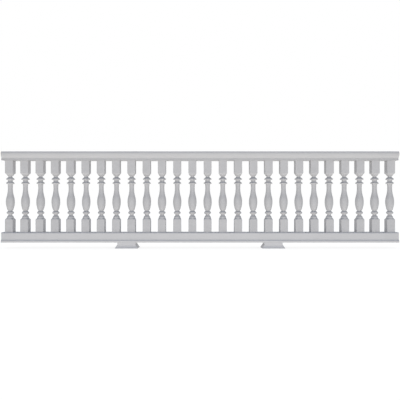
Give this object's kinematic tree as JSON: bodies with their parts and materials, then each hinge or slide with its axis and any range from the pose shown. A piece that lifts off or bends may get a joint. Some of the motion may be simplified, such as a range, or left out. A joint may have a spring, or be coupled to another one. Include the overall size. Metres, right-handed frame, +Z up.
{
  "type": "balustrade panel",
  "caption": "Straight balustrade panel of moulded polyurethane: moulded top rail, turned vase balusters with square ends, plinth-banded bottom rail and flared support blocks.",
  "frame": {"origin": "on the floor, below the middle of the panel", "axes": "+X along the rails to the right, +Y to the back, +Z up; the front faces -Y"},
  "size_m": [3.658, 0.146, 0.8925],
  "materials": {
    "rails": "primed moulded polyurethane, matt light grey, faint mottling",
    "balusters": "primed moulded polyurethane, matt light grey, faint mottling",
    "support_blocks": "primed moulded polyurethane, matt light grey, faint mottling"
  },
  "bodies": {
    "root": {"top_rail": "rails", "bottom_rail": "rails", "left_support_block": "support_blocks", "right_support_block": "support_blocks", "baluster_01": "balusters", "baluster_02": "balusters", "baluster_03": "balusters", "baluster_04": "balusters", "baluster_05": "balusters", "baluster_06": "balusters", "baluster_07": "balusters", "baluster_08": "balusters", "baluster_09": "balusters", "baluster_10": "balusters", "baluster_11": "balusters", "baluster_12": "balusters", "baluster_13": "balusters", "baluster_14": "balusters", "baluster_15": "balusters", "baluster_16": "balusters", "baluster_17": "balusters", "baluster_18": "balusters", "baluster_19": "balusters", "baluster_20": "balusters", "baluster_21": "balusters", "baluster_22": "balusters", "baluster_23": "balusters", "baluster_24": "balusters", "baluster_25": "balusters", "baluster_26": "balusters"}
  },
  "joints": []
}
